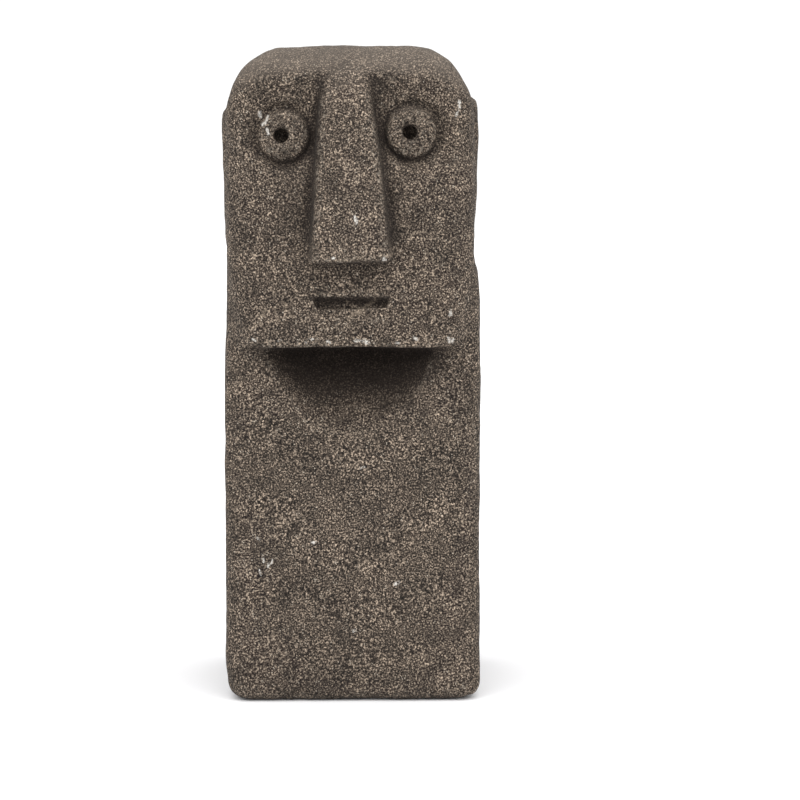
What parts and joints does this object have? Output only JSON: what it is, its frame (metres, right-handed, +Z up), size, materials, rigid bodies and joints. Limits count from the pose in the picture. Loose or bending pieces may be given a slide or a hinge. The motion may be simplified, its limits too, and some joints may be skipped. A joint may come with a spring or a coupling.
{
  "type": "carved stone head figure",
  "caption": "Free-standing carved stone figure: a blunt square head with drilled eyes and a wedge nose on a plain block, on thin felt feet.",
  "frame": {"origin": "middle of the figure's outer box in X and Y, on the surface that its felt feet stand on", "axes": "+Z up along the block, the face looks along -Y, +X is to the right of a viewer who faces it"},
  "size_m": [0.1183, 0.13, 0.3],
  "materials": {
    "stone": "rough",
    "felt": "matte"
  },
  "bodies": {
    "root": {"stone_figure": "stone", "felt_foot_front_left": "felt", "felt_foot_front_right": "felt", "felt_foot_back_left": "felt", "felt_foot_back_right": "felt"}
  },
  "joints": []
}
